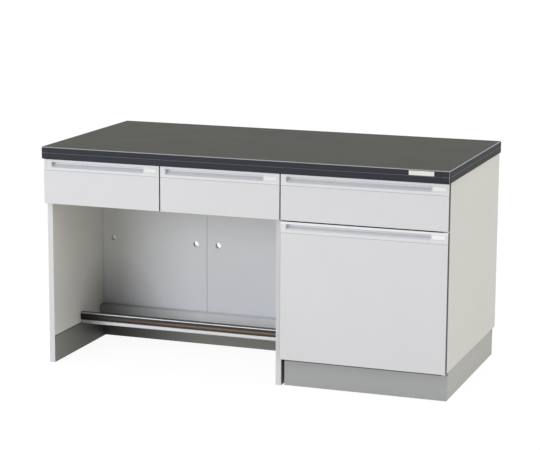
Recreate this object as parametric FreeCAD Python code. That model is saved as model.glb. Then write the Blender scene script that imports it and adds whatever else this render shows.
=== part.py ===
"""Laboratory side bench: knee space with two drawers beside a pedestal with a drawer and a cupboard.

Millimetres, +Z up. The origin is on the floor under the middle of the worktop, the front faces -Y.
Every sub-part is written to parts/ as a STEP file that has the node's name.
"""
import FreeCAD, Part
import math
import os

Vector = FreeCAD.Vector
X_AXIS = Vector(1, 0, 0)
Y_AXIS = Vector(0, 1, 0)
Z_AXIS = Vector(0, 0, 1)

# ---- overall size -------------------------------------------------------------------------
WIDTH = 1500.0
DEPTH = 750.0
HEIGHT = 800.0

# ---- worktop ------------------------------------------------------------------------------
TOP_THICKNESS = 43.0
STRIP_THICKNESS = 4.0        # moulded edge strip round the board
STRIP_ROUNDING = 3.0         # of its upper edge
STRIP_LOWER_ROUNDING = 1.8
STRIP_GROOVE_WIDTH = 1.6     # fine groove along the middle of the front strip
STRIP_GROOVE_DEPTH = 0.7
CORNER_RADIUS = 8.0
CAP_LENGTH = 30.0            # each way from the corner
CAP_JOINT = 0.8              # open joint between corner caps and strips
PLATE_SEAT_LENGTH = 88.0     # shallow seat for a plate in the front strip
PLATE_SEAT_HEIGHT = 16.0
PLATE_SEAT_DEPTH = 0.6
PLATE_SEAT_CORNER = 1.5
PLATE_SEAT_DROP = 4.0        # under the worktop's face
PLATE_SEAT_END = 54.0        # from the worktop's right end

# ---- carcass ------------------------------------------------------------------------------
END_INSET = 5.0              # carcass behind the worktop's ends
PANEL = 20.0                 # legs and pedestal sides
BAND = 1.0                   # edge banding on the front edges
BAND_JOINT = 0.8             # open joint between the bands of a leg and its base
KNEE_UNIT_WIDTH = 895.0
BASE_HEIGHT = 100.0
RAIL_THICKNESS = 18.0
RAIL_DEPTH = 80.0
JOINING_BOLT = 6.0           # between the knee unit's leg and the pedestal's side
JOINING_HEAD = 11.0          # hexagon of head and nut, over its corners
JOINING_HEAD_HEIGHT = 3.0
JOINING_FIT = 0.1            # radial clearance of the bolts in nuts and boards
JOINING_EDGE = 50.0          # from the front edge and from the pedestal's back
JOINING_LOW = 30.0           # above the pedestal's bottom board
JOINING_HIGH = 24.0          # under the top rails

# ---- fronts -------------------------------------------------------------------------------
FRONT_SETBACK = 14.0         # front faces behind the worktop's front edge
FRONT_THICKNESS = 20.0
FRONT_BUFFER = 2.0           # space between the fronts and the carcass
REVEAL = 4.0                 # gap between neighbouring fronts
TOP_REVEAL = 3.0             # gap under the worktop
DRAWER_FRONT_HEIGHT = 161.0
FRONT_ROUNDING = 1.2

# ---- grip strip on the top edge of every front --------------------------------------------
GRIP_HEIGHT = 39.0
GRIP_LIP = 8.0               # upper lip that the fingers pull
GRIP_FOOT = 10.0             # flat under the scoop
GRIP_WALL = 3.5              # left behind the scoop
GRIP_BULGE = 3.5             # hollow of the scoop's back, deepest at mid height
GRIP_SLOPE_HEIGHT = 9.0      # where the sloping floor of the scoop turns upwards
GRIP_LEFT_END = 20.0         # solid left end
GRIP_FILLER = 10.0           # beside the leftmost grip, whose front covers the whole leg
GRIP_RIGHT_END = 9.0         # solid right end, beside the card
GRIP_CARD_MARGIN = 3.0       # between card recess and scoop
GRIP_ROUNDING = 0.8
CARD_WIDTH = 48.0
CARD_HEIGHT = 18.0
CARD_THICKNESS = 0.6
CARD_RECESS = 1.0
CARD_CLEARANCE = 0.3
SHADOW_LINE = 0.8            # rebate between grip strip and board

# ---- drawer boxes and slides --------------------------------------------------------------
BOX_HEIGHT = 92.0
BOX_LIFT = 12.0              # box above the board under it
BOX_BOARD = 12.0
BOX_BOTTOM = 5.0
BOX_BOTTOM_LIFT = 8.0        # bottom board above the lower edge of the sides
BOX_GROOVE = 6.0             # bottom board let into the sides
KNEE_BOX_REAR_GAP = 26.0     # behind the knee drawers' boxes
PEDESTAL_BOX_DEPTH = 505.0
SLIDE_SPACE = 13.0           # between drawer side and carcass
SLIDE_HEIGHT = 45.0
SLIDE_SHEET = 1.5
SLIDE_BEND = 0.7             # facet inside the bends of the sheet
SLIDE_FLANGE = 10.0
SLIDE_CLEARANCE = 0.3
SLIDE_FRONT_GAP = 6.0        # slides end behind the carcass edge
SLIDE_LIFT = 20.0            # slides above the lower edge of the drawer side
SLIDE_REAR_CUT = 12.0        # slides shorter than the drawer box

# ---- knee space ---------------------------------------------------------------------------
KNEE_DEPTH = 465.0           # back panels behind the worktop's front edge
BACK_PANEL = 15.0
BACK_PANEL_CLEARANCE = 0.5   # at its sides, and in its grooves
BACK_PANEL_SEAT = 4.0        # the panel stands this deep in the rail under it
BACK_PANEL_HOLD = 3.0        # and is held this far by the floor of the drawer bay
BACK_PANEL_LIFT = 5.0        # more than the seat, so that it lifts out
BACK_RAIL_HEIGHT = 31.0
BACK_RAIL_LEDGE = 37.0       # rail in front of the back panels
BACK_BASE = 15.0
BACK_BASE_SETBACK = 14.0     # base board behind the face of the back panels
BAY_FLOOR = 15.0
BAY_FLOOR_LIFT = 3.0         # above the lower edge of the drawer fronts
PARTITION = 18.0
BATTEN = 22.0
STRETCHER_HEIGHT = 100.0
FINGER_HOLE = 21.0           # diameter
FINGER_HOLE_EDGE = 45.0      # centre from the side of the panel
FINGER_HOLE_HEIGHT = 388.0   # centre above the floor

# ---- footrest -----------------------------------------------------------------------------
FOOTREST_SETBACK = 255.0     # behind the worktop's front edge
FOOTREST_BOTTOM = 98.0
FOOTREST_HEIGHT = 42.0
FOOTREST_DEPTH = 20.0
FOOTREST_WALL = 2.0
FOOTREST_ROUNDING = 3.0
FOOTREST_LIP = 12.5          # plain aluminium under the insert
INSERT_HEIGHT = 21.5
INSERT_DEPTH = 3.0
INSERT_CROWN = 2.0           # middle of the insert in front of its edges
INSERT_CLEARANCE = 0.7
PLUG_LENGTH = 40.0

# ---- pedestal -----------------------------------------------------------------------------
PEDESTAL_BACK = 12.0
PEDESTAL_BACK_INSET = 15.0
PLINTH_BOARD = 16.0
PLINTH_SETBACK = 10.0        # behind the carcass front
PLINTH_LEFT_INSET = 9.0
PLINTH_RIGHT_INSET = 2.0
PLINTH_REAR_INSET = 30.0
SHELF_THICKNESS = 18.0
SHELF_HEIGHT = 340.0         # underside above the floor
SHELF_CLEARANCE = 1.0
SHELF_FRONT_GAP = 30.0
PIN_DIAMETER = 5.0
PIN_IN = 9.0                 # in the side panel
PIN_OUT = 10.0               # under the shelf
PIN_EDGE = 60.0              # from the shelf's front and rear edges
PIN_PITCH = 32.0

# ---- door, its pivots and its catch -------------------------------------------------------
PIVOT_EDGE = 7.0             # pivot axis from the door's edge
PIVOT_SETBACK = 6.0          # pivot axis behind the door's face
PIVOT_PIN = 5.0
PIVOT_FIT = 0.05             # radial running fit
PIVOT_PLATE = 2.0
PIVOT_PLATE_GAP = 0.4        # between plate and door
PIVOT_PLATE_WIDTH = 16.0
PIVOT_LEG = 34.0             # upright leg on the side panel's edge
BUSH_DIAMETER = 9.0
BUSH_LENGTH = 12.0           # of its bore
BUSH_END = 2.0               # closed end of the bush
BUSH_FLANGE = 0.3            # bush stands out of the door's edge
PIN_END_GAP = 1.0            # pin shorter than the bore
CATCH_WIDTH = 46.0
CATCH_HEIGHT = 14.0
CATCH_DEPTH = 22.0
CATCH_EDGE = 60.0            # from the pedestal's left side
CATCH_GAP = 0.3
STRIKE_THICKNESS = 1.6
STRIKE_HEIGHT = 20.0

# ---- cutting and comparing ----------------------------------------------------------------
OVERRUN = 1.0                # cutters run this far past the faces they open
TOUCH = 1e-4                 # two planes nearer than this are one

# ---- planes that the pieces share ---------------------------------------------------------
worktop_left = -WIDTH / 2
worktop_right = WIDTH / 2
worktop_front = -DEPTH / 2
worktop_rear = DEPTH / 2
under_top = HEIGHT - TOP_THICKNESS

carcass_left = worktop_left + END_INSET
carcass_right = worktop_right - END_INSET
units_meet = carcass_left + KNEE_UNIT_WIDTH
face_y = worktop_front + FRONT_SETBACK
face_back_y = face_y + FRONT_THICKNESS
carcass_y = face_back_y + FRONT_BUFFER
board_y = carcass_y + BAND
rear_y = worktop_rear
rails_z = under_top - RAIL_THICKNESS

fronts_top = under_top - TOP_REVEAL
drawer_front_z = fronts_top - DRAWER_FRONT_HEIGHT
door_top = drawer_front_z - REVEAL

knee_left = carcass_left + PANEL
knee_right = units_meet - PANEL
knee_back_y = worktop_front + KNEE_DEPTH
knee_middle = (carcass_left + units_meet) / 2
back_rail_top = BASE_HEIGHT + BACK_RAIL_HEIGHT
bay_floor_z = drawer_front_z + BAY_FLOOR_LIFT
bay_floor_top = bay_floor_z + BAY_FLOOR

pedestal_left = units_meet + PANEL
pedestal_right = carcass_right - PANEL
pedestal_bottom_top = BASE_HEIGHT + PANEL
divider_z = door_top + REVEAL / 2 - RAIL_THICKNESS / 2
divider_top = divider_z + RAIL_THICKNESS
pedestal_back_y = rear_y - PEDESTAL_BACK_INSET - PEDESTAL_BACK

pivot_x = carcass_right - PIVOT_EDGE
pivot_y = face_y + PIVOT_SETBACK


# ---- small helpers ------------------------------------------------------------------------
def block(x0, x1, y0, y1, z0, z1):
    """Box between two corners."""
    return Part.makeBox(x1 - x0, y1 - y0, z1 - z0, Vector(x0, y0, z0))


def rod(radius, start, direction, length):
    return Part.makeCylinder(radius, length, start, direction)


def along_x(outline, x0, x1):
    """Prism along X of a closed outline of edges drawn in the YZ plane at X = 0."""
    face = Part.Face(Part.Wire(outline))
    return face.extrude(Vector(x1 - x0, 0, 0)).translated(Vector(x0, 0, 0))


def edges_where(shape, test):
    """Edges whose both ends pass the test."""
    return [e for e in shape.Edges if all(test(v.Point) for v in e.Vertexes)]


def on(value, plane):
    return abs(value - plane) < TOUCH


def runs_along(edge, axis):
    """True for an edge that is parallel to the axis."""
    return on(abs(edge.tangentAt(edge.FirstParameter).dot(axis)), 1)


def save(name, *solids):
    """One STEP file for a node. Several solids make one group."""
    shape = solids[0] if len(solids) == 1 else Part.makeCompound(list(solids))
    shape.exportStep("parts/" + name + ".step")


# ---- worktop ------------------------------------------------------------------------------
def rounded_slab(inset, corner):
    """Worktop-high slab, inset from the worktop's outline, with rounded front corners."""
    slab = block(worktop_left + inset, worktop_right - inset, worktop_front + inset,
                 worktop_rear - inset, under_top, HEIGHT)
    front = edges_where(slab, lambda p: on(p.y, worktop_front + inset))
    return slab.makeFillet(corner, [e for e in front if runs_along(e, Z_AXIS)])


def worktop():
    core = rounded_slab(STRIP_THICKNESS, CORNER_RADIUS - STRIP_THICKNESS)
    outer = rounded_slab(0, CORNER_RADIUS)
    outer = outer.makeFillet(STRIP_ROUNDING, edges_where(outer, lambda p: on(p.z, HEIGHT)))
    lower_rim = edges_where(outer, lambda p: on(p.z, under_top))
    ring = outer.makeFillet(STRIP_LOWER_ROUNDING, lower_rim).cut(core)
    groove_z = (under_top + HEIGHT) / 2
    groove = block(worktop_left, worktop_right,
                   worktop_front - OVERRUN, worktop_front + STRIP_GROOVE_DEPTH,
                   groove_z - STRIP_GROOVE_WIDTH / 2, groove_z + STRIP_GROOVE_WIDTH / 2)
    seat_right = worktop_right - PLATE_SEAT_END
    seat_top = HEIGHT - PLATE_SEAT_DROP
    seat = block(seat_right - PLATE_SEAT_LENGTH, seat_right,
                 worktop_front - OVERRUN, worktop_front + PLATE_SEAT_DEPTH,
                 seat_top - PLATE_SEAT_HEIGHT, seat_top)
    seat = seat.makeFillet(PLATE_SEAT_CORNER, [e for e in seat.Edges if runs_along(e, Y_AXIS)])
    cap_left = worktop_left + CAP_LENGTH
    cap_right = worktop_right - CAP_LENGTH
    cap_rear = worktop_front + CAP_LENGTH
    side_front = cap_rear + CAP_JOINT
    inner_left = worktop_left + STRIP_THICKNESS
    inner_right = worktop_right - STRIP_THICKNESS
    inner_rear = worktop_rear - STRIP_THICKNESS

    def part_of_ring(x0, x1, y0, y1):
        return ring.common(block(x0, x1, y0, y1, under_top, HEIGHT)).Solids[0]

    save("worktop_board", core)
    front_strip = part_of_ring(cap_left + CAP_JOINT, cap_right - CAP_JOINT, worktop_front, 0)
    save("worktop_edge_front", front_strip.cut(groove).cut(seat))
    save("worktop_edge_sides",
         part_of_ring(worktop_left, inner_left, side_front, worktop_rear),
         part_of_ring(inner_right, worktop_right, side_front, worktop_rear))
    save("worktop_edge_rear", part_of_ring(inner_left, inner_right, inner_rear, worktop_rear))
    save("worktop_corner_caps",
         part_of_ring(worktop_left, cap_left, worktop_front, cap_rear),
         part_of_ring(cap_right, worktop_right, worktop_front, cap_rear))


# ---- knee unit ----------------------------------------------------------------------------
def knee_unit():
    legs = {"knee_leg_left": carcass_left, "knee_leg_right": knee_right}
    bolt_holes = joining_bolt_holes()
    for name, x in legs.items():
        save(name, block(x, x + PANEL, board_y, rear_y, BASE_HEIGHT, under_top).cut(bolt_holes))
    save("knee_leg_bases",
         *[block(x, x + PANEL, board_y, rear_y, 0, BASE_HEIGHT) for x in legs.values()])

    base_y = knee_back_y + BACK_BASE_SETBACK
    save("knee_back_base", block(knee_left, knee_right, base_y, base_y + BACK_BASE, 0, BASE_HEIGHT))

    panel_rear = knee_back_y + BACK_PANEL
    panel_z0 = back_rail_top - BACK_PANEL_SEAT
    panel_z1 = bay_floor_z + BACK_PANEL_HOLD
    grooves = block(knee_left, knee_right, knee_back_y - BACK_PANEL_CLEARANCE,
                    panel_rear + BACK_PANEL_CLEARANCE, panel_z0, panel_z1 + BACK_PANEL_LIFT)
    back_rail = block(knee_left, knee_right, knee_back_y - BACK_RAIL_LEDGE,
                      base_y + BACK_BASE, BASE_HEIGHT, back_rail_top)
    save("knee_back_rail", back_rail.cut(grooves))
    seam = knee_middle
    spans = {"knee_back_panel_left": (knee_left, seam), "knee_back_panel_right": (seam, knee_right)}
    for name, (x0, x1) in spans.items():
        panel = block(x0 + BACK_PANEL_CLEARANCE, x1 - BACK_PANEL_CLEARANCE, knee_back_y, panel_rear,
                      panel_z0, panel_z1)
        for x in (x0 + FINGER_HOLE_EDGE, x1 - FINGER_HOLE_EDGE):
            hole_start = Vector(x, knee_back_y - OVERRUN, FINGER_HOLE_HEIGHT)
            panel = panel.cut(rod(FINGER_HOLE / 2, hole_start, Y_AXIS, BACK_PANEL + 2 * OVERRUN))
        save(name, panel)
    batten_starts = (knee_left, seam - BATTEN / 2, knee_right - BATTEN)
    save("knee_panel_battens",
         *[block(x, x + BATTEN, panel_rear, panel_rear + BATTEN, back_rail_top, bay_floor_z)
           for x in batten_starts])

    bay_rear = panel_rear + BATTEN
    bay_floor = block(knee_left, knee_right, board_y, bay_rear, bay_floor_z, bay_floor_top)
    save("drawer_bay_floor", bay_floor.cut(grooves))
    save("drawer_bay_back",
         block(knee_left, knee_right, knee_back_y, panel_rear, bay_floor_top, under_top))
    save("drawer_bay_partition",
         block(knee_middle - PARTITION / 2, knee_middle + PARTITION / 2, board_y, knee_back_y,
               bay_floor_top, rails_z))
    save("knee_top_rails",
         block(knee_left, knee_right, board_y, board_y + RAIL_DEPTH, rails_z, under_top),
         block(knee_left, knee_right, knee_back_y - RAIL_DEPTH, knee_back_y, rails_z, under_top))
    save("rear_stretcher",
         block(knee_left, knee_right, rear_y - RAIL_THICKNESS, rear_y,
               under_top - STRETCHER_HEIGHT, under_top))


def footrest_tread(front, z0, z1):
    """Tread with a crowned face, level with the bar's face at its middle."""
    edge_y = front + INSERT_CROWN
    back_y = front + INSERT_DEPTH
    low_edge = Vector(0, edge_y, z0)
    high_edge = Vector(0, edge_y, z1)
    low_back = Vector(0, back_y, z0)
    high_back = Vector(0, back_y, z1)
    outline = [
        Part.Arc(low_edge, Vector(0, front, (z0 + z1) / 2), high_edge).toShape(),
        Part.LineSegment(high_edge, high_back).toShape(),
        Part.LineSegment(high_back, low_back).toShape(),
        Part.LineSegment(low_back, low_edge).toShape(),
    ]
    return along_x(outline, knee_left, knee_right)


def footrest():
    """Hollow aluminium bar with a set-in tread, on plugs that are screwed to the legs."""
    front = worktop_front + FOOTREST_SETBACK
    rear = front + FOOTREST_DEPTH
    bottom = FOOTREST_BOTTOM
    top = bottom + FOOTREST_HEIGHT
    insert_z = bottom + FOOTREST_LIP
    insert_top = insert_z + INSERT_HEIGHT
    bar = block(knee_left, knee_right, front, rear, bottom, top)
    bar = bar.makeFillet(FOOTREST_ROUNDING, [e for e in bar.Edges if runs_along(e, X_AXIS)])
    channel = block(knee_left, knee_right, front - OVERRUN, front + INSERT_DEPTH,
                    insert_z, insert_top)
    chamber_y = front + INSERT_DEPTH + FOOTREST_WALL
    chamber = (chamber_y, rear - FOOTREST_WALL, bottom + FOOTREST_WALL, top - FOOTREST_WALL)
    save("footrest_rail", bar.cut(channel).cut(block(knee_left, knee_right, *chamber)))
    save("footrest_tread", footrest_tread(front, insert_z + INSERT_CLEARANCE,
                                          insert_top - INSERT_CLEARANCE))
    save("footrest_plugs",
         block(knee_left, knee_left + PLUG_LENGTH, *chamber),
         block(knee_right - PLUG_LENGTH, knee_right, *chamber))


# ---- bolts that join the two units --------------------------------------------------------
def joining_bolt_axes():
    """Points on the bolts' axes: over the bottom board and under the top rails, front and rear."""
    return [Vector(units_meet, y, z)
            for y in (board_y + JOINING_EDGE, pedestal_back_y - JOINING_EDGE)
            for z in (pedestal_bottom_top + JOINING_LOW, rails_z - JOINING_HIGH)]


def joining_bolt_holes():
    """Cutters of the bolts' holes, long enough to pass through the nuts too."""
    radius = JOINING_BOLT / 2 + JOINING_FIT
    reach = PANEL + JOINING_HEAD_HEIGHT + OVERRUN
    return Part.makeCompound([rod(radius, middle - X_AXIS * reach, X_AXIS, 2 * reach)
                              for middle in joining_bolt_axes()])


def hexagon(middle, direction):
    """Head or nut of a bolt along X, from the middle of the face that it lies on."""
    turns = [math.radians(degrees) for degrees in range(0, 361, 60)]
    corners = [middle + Vector(0, math.cos(turn), math.sin(turn)) * (JOINING_HEAD / 2)
               for turn in turns]
    return Part.Face(Part.makePolygon(corners)).extrude(direction * JOINING_HEAD_HEIGHT)


def joining_bolts():
    """Bolts with their heads in the pedestal, and nuts on their ends in the knee unit."""
    pieces = []
    holes = joining_bolt_holes()
    for middle in joining_bolt_axes():
        under_head = middle + X_AXIS * PANEL
        shank = rod(JOINING_BOLT / 2, under_head, -X_AXIS, 2 * PANEL + JOINING_HEAD_HEIGHT)
        nut = hexagon(middle - X_AXIS * PANEL, -X_AXIS)
        pieces.append(shank.fuse(hexagon(under_head, X_AXIS)))
        pieces.append(nut.cut(holes))
    save("unit_joining_bolts", *pieces)


# ---- pedestal -----------------------------------------------------------------------------
def pin_rows():
    """(y, [z, z, ...]) of the shelf pin holes, the middle one of each row carries the shelf."""
    shelf_front = board_y + SHELF_FRONT_GAP
    shelf_rear = pedestal_back_y - SHELF_CLEARANCE
    pin_z = SHELF_HEIGHT - PIN_DIAMETER / 2
    heights = [pin_z - PIN_PITCH, pin_z, pin_z + PIN_PITCH]
    return [(y, heights) for y in (shelf_front + PIN_EDGE, shelf_rear - PIN_EDGE)]


def pedestal():
    hole = PIN_DIAMETER / 2
    left = block(units_meet, pedestal_left, board_y, rear_y, BASE_HEIGHT, under_top)
    right = block(pedestal_right, carcass_right, board_y, rear_y, BASE_HEIGHT, under_top)
    for y, heights in pin_rows():
        for z in heights:
            left = left.cut(rod(hole, Vector(pedestal_left, y, z), -X_AXIS, PIN_IN))
            right = right.cut(rod(hole, Vector(pedestal_right, y, z), X_AXIS, PIN_IN))
    right = right.cut(Part.makeCompound([leg_recess(z0, z1) for z0, z1 in pivot_leg_heights()]))
    left = left.cut(joining_bolt_holes())
    save("pedestal_side_left", left)
    save("pedestal_side_right", right)
    save("pedestal_bottom", block(pedestal_left, pedestal_right, board_y, pedestal_back_y,
                                  BASE_HEIGHT, pedestal_bottom_top))
    save("pedestal_divider", block(pedestal_left, pedestal_right, board_y, pedestal_back_y,
                                   divider_z, divider_top))
    save("pedestal_back", block(pedestal_left, pedestal_right, pedestal_back_y,
                                pedestal_back_y + PEDESTAL_BACK, BASE_HEIGHT, under_top))
    save("pedestal_top_rails",
         block(pedestal_left, pedestal_right, board_y, board_y + RAIL_DEPTH, rails_z, under_top),
         block(pedestal_left, pedestal_right, pedestal_back_y - RAIL_DEPTH, pedestal_back_y,
               rails_z, under_top))

    pin_z = SHELF_HEIGHT - hole
    pins = []
    for y, _ in pin_rows():
        pins.append(rod(hole, Vector(pedestal_left - PIN_IN, y, pin_z), X_AXIS, PIN_IN + PIN_OUT))
        pins.append(rod(hole, Vector(pedestal_right + PIN_IN, y, pin_z), -X_AXIS, PIN_IN + PIN_OUT))
    save("shelf_pins", *pins)
    save("cupboard_shelf", block(pedestal_left + SHELF_CLEARANCE, pedestal_right - SHELF_CLEARANCE,
                                 board_y + SHELF_FRONT_GAP, pedestal_back_y - SHELF_CLEARANCE,
                                 SHELF_HEIGHT, SHELF_HEIGHT + SHELF_THICKNESS))


def plinth():
    left = units_meet + PLINTH_LEFT_INSET
    right = carcass_right - PLINTH_RIGHT_INSET
    front = carcass_y + PLINTH_SETBACK
    rear = rear_y - PLINTH_REAR_INSET
    save("plinth_front", block(left, right, front, front + PLINTH_BOARD, 0, BASE_HEIGHT))
    save("plinth_rear", block(left, right, rear - PLINTH_BOARD, rear, 0, BASE_HEIGHT))
    save("plinth_sides",
         block(left, left + PLINTH_BOARD, front + PLINTH_BOARD, rear - PLINTH_BOARD, 0, BASE_HEIGHT),
         block(right - PLINTH_BOARD, right, front + PLINTH_BOARD, rear - PLINTH_BOARD, 0, BASE_HEIGHT))


def edge_bands():
    """Thin bands on the front edges of the carcass boards."""
    def band(x0, x1, z0, z1):
        return block(x0, x1, carcass_y, board_y, z0, z1)

    bands = []
    for x in (carcass_left, knee_right):
        bands.append(band(x, x + PANEL, 0, BASE_HEIGHT))
        bands.append(band(x, x + PANEL, BASE_HEIGHT + BAND_JOINT, under_top))
    bands.append(band(units_meet, pedestal_left, BASE_HEIGHT, under_top))
    bands.append(band(pedestal_left, pedestal_right, BASE_HEIGHT, pedestal_bottom_top))
    bands.append(band(pedestal_left, pedestal_right, divider_z, divider_top))
    bands.append(band(knee_left, knee_right, bay_floor_z, bay_floor_top))
    right = band(pedestal_right, carcass_right, BASE_HEIGHT, under_top)
    right = right.cut(Part.makeCompound([leg_recess(z0, z1) for z0, z1 in pivot_leg_heights()]))
    save("carcass_edge_bands", *bands, *right.Solids)


# ---- door pivots --------------------------------------------------------------------------
def pivot_leg_heights():
    """(low, high) of the two upright bracket legs, above the bottom and below the top of the door."""
    low = BASE_HEIGHT - PIVOT_PLATE_GAP - PIVOT_PLATE
    high = door_top + PIVOT_PLATE_GAP + PIVOT_PLATE
    return [(low, low + PIVOT_LEG), (high - PIVOT_LEG, high)]


def leg_recess(z0, z1):
    """Pocket in the side panel's front edge that takes a bracket leg."""
    return block(pivot_x - PIVOT_PLATE_WIDTH / 2, carcass_right, carcass_y,
                 carcass_y + PIVOT_PLATE, z0, z1)


def pivot_brackets():
    """Pressed angle brackets with a riveted pin, one under the door and one over it."""
    brackets = []
    for (z0, z1), at_bottom in zip(pivot_leg_heights(), (True, False)):
        leg = leg_recess(z0, z1)
        plate_z = z0 if at_bottom else z1 - PIVOT_PLATE
        plate = block(pivot_x - PIVOT_PLATE_WIDTH / 2, carcass_right, pivot_y,
                      carcass_y + PIVOT_PLATE, plate_z, plate_z + PIVOT_PLATE)
        nose = rod(PIVOT_EDGE, Vector(pivot_x, pivot_y, plate_z), Z_AXIS, PIVOT_PLATE)
        nose_fill = block(pivot_x - PIVOT_EDGE, carcass_right, pivot_y, pivot_y + PIVOT_EDGE,
                          plate_z, plate_z + PIVOT_PLATE)
        pin_length = PIVOT_PLATE + PIVOT_PLATE_GAP + BUSH_LENGTH - PIN_END_GAP
        if at_bottom:
            pin = rod(PIVOT_PIN / 2, Vector(pivot_x, pivot_y, plate_z), Z_AXIS, pin_length)
        else:
            pin = rod(PIVOT_PIN / 2, Vector(pivot_x, pivot_y, plate_z + PIVOT_PLATE), -Z_AXIS, pin_length)
        brackets.append(leg.fuse([plate, nose, nose_fill, pin]).removeSplitter())
    save("door_pivot_brackets", *brackets)


def bush(z, direction):
    """Bush in the door's edge at height z, with a blind bore for the pin."""
    start = Vector(pivot_x, pivot_y, z)
    mouth = start - direction * BUSH_FLANGE
    bore_length = BUSH_LENGTH + BUSH_FLANGE
    body = rod(BUSH_DIAMETER / 2, mouth, direction, bore_length + BUSH_END)
    return body.cut(rod(PIVOT_PIN / 2 + PIVOT_FIT, mouth, direction, bore_length))


# ---- fronts -------------------------------------------------------------------------------
def grip_strip(x0, x1, top, filler=0.0):
    """Moulded strip on the top edge of a front: lip, scoop for the fingers and card recess. A
    filler beside its left end is set off by a fine joint."""
    bottom = top - GRIP_HEIGHT
    lip = top - GRIP_LIP
    foot = bottom + GRIP_FOOT
    deepest = face_back_y - GRIP_WALL
    turn = foot + GRIP_SLOPE_HEIGHT
    strip = block(x0, x1, face_y, face_back_y, bottom, top)
    front_edges = edges_where(strip, lambda p: on(p.y, face_y))
    rounded = [e for e in front_edges if not on(e.CenterOfMass.z, bottom)]
    strip = strip.makeFillet(GRIP_ROUNDING, rounded)

    card_x1 = x1 - GRIP_RIGHT_END
    card_x0 = card_x1 - CARD_WIDTH
    scoop_x1 = card_x0 - GRIP_CARD_MARGIN
    scoop_x0 = x0 + filler + GRIP_LEFT_END
    slope_end = Vector(0, deepest - GRIP_BULGE, turn)
    back_top = Vector(0, deepest - GRIP_BULGE, lip)
    back_mid = Vector(0, deepest, (turn + lip) / 2)
    foot_front = Vector(0, face_y, foot)
    foot_outside = Vector(0, face_y - OVERRUN, foot)
    lip_outside = Vector(0, face_y - OVERRUN, lip)
    outline = [
        Part.LineSegment(foot_outside, foot_front).toShape(),
        Part.LineSegment(foot_front, slope_end).toShape(),
        Part.Arc(slope_end, back_mid, back_top).toShape(),
        Part.LineSegment(back_top, lip_outside).toShape(),
        Part.LineSegment(lip_outside, foot_outside).toShape(),
    ]
    strip = strip.cut(along_x(outline, scoop_x0, scoop_x1))
    if filler:
        strip = strip.cut(block(x0 + filler - SHADOW_LINE, x0 + filler, face_y - OVERRUN,
                                face_y + SHADOW_LINE, bottom, top))
    card_z = (foot + lip) / 2 - CARD_HEIGHT / 2
    recess = block(card_x0, card_x1, face_y - OVERRUN, face_y + CARD_RECESS,
                   card_z, card_z + CARD_HEIGHT)
    card = block(card_x0 + CARD_CLEARANCE, card_x1 - CARD_CLEARANCE,
                 face_y + CARD_RECESS - CARD_THICKNESS, face_y + CARD_RECESS,
                 card_z + CARD_CLEARANCE, card_z + CARD_HEIGHT - CARD_CLEARANCE)
    return strip.cut(recess), card


def front_board(x0, x1, z0, top):
    """Board under the grip strip, with softened front edges and a shadow line at its top."""
    board_top = top - GRIP_HEIGHT
    board = block(x0, x1, face_y, face_back_y, z0, board_top)
    shadow = block(x0, x1, face_y, face_y + SHADOW_LINE, board_top - SHADOW_LINE, board_top)
    softened = edges_where(board, lambda p: on(p.y, face_y))
    softened = [e for e in softened if not on(e.CenterOfMass.z, board_top)]
    return board.makeFillet(FRONT_ROUNDING, softened).cut(shadow)


# ---- drawers ------------------------------------------------------------------------------
def drawer_box(x0, x1, z0, depth):
    """Four boards and a bottom that is let into them, as separate solids."""
    y0 = face_back_y
    y1 = y0 + depth
    z1 = z0 + BOX_HEIGHT
    bottom_z = z0 + BOX_BOTTOM_LIFT
    inner_x0 = x0 + BOX_BOARD
    inner_x1 = x1 - BOX_BOARD
    inner_y0 = y0 + BOX_BOARD
    inner_y1 = y1 - BOX_BOARD
    bottom = block(inner_x0 - BOX_GROOVE, inner_x1 + BOX_GROOVE, inner_y0 - BOX_GROOVE,
                   inner_y1 + BOX_GROOVE, bottom_z, bottom_z + BOX_BOTTOM)
    boards = [
        block(x0, inner_x0, y0, y1, z0, z1),
        block(inner_x1, x1, y0, y1, z0, z1),
        block(inner_x0, inner_x1, y0, inner_y0, z0, z1),
        block(inner_x0, inner_x1, inner_y1, y1, z0, z1),
    ]
    return [board.cut(bottom) for board in boards] + [bottom]


def slide_channel(wall_x, side, height, y0, y1, z_middle):
    """C-section of bent sheet along Y: its web lies on wall_x, its flanges point to side (+1 or -1).
    Each bend is a facet, and the outer one is wider, so that the sheet keeps its thickness there."""
    def bent_block(x_web, x_open, sheet, facet):
        solid = block(*sorted((x_web, x_open)), y0, y1,
                      z_middle - height / 2 + sheet, z_middle + height / 2 - sheet)
        corners = edges_where(solid, lambda p: on(p.x, x_web))
        return solid.makeChamfer(facet, [e for e in corners if runs_along(e, Y_AXIS)])

    outer_facet = SLIDE_BEND + (2 - math.sqrt(2)) * SLIDE_SHEET
    outer = bent_block(wall_x, wall_x + side * SLIDE_FLANGE, 0, outer_facet)
    inner = bent_block(wall_x + side * SLIDE_SHEET, wall_x + side * (SLIDE_FLANGE + OVERRUN),
                       SLIDE_SHEET, SLIDE_BEND)
    return outer.cut(inner)


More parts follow.
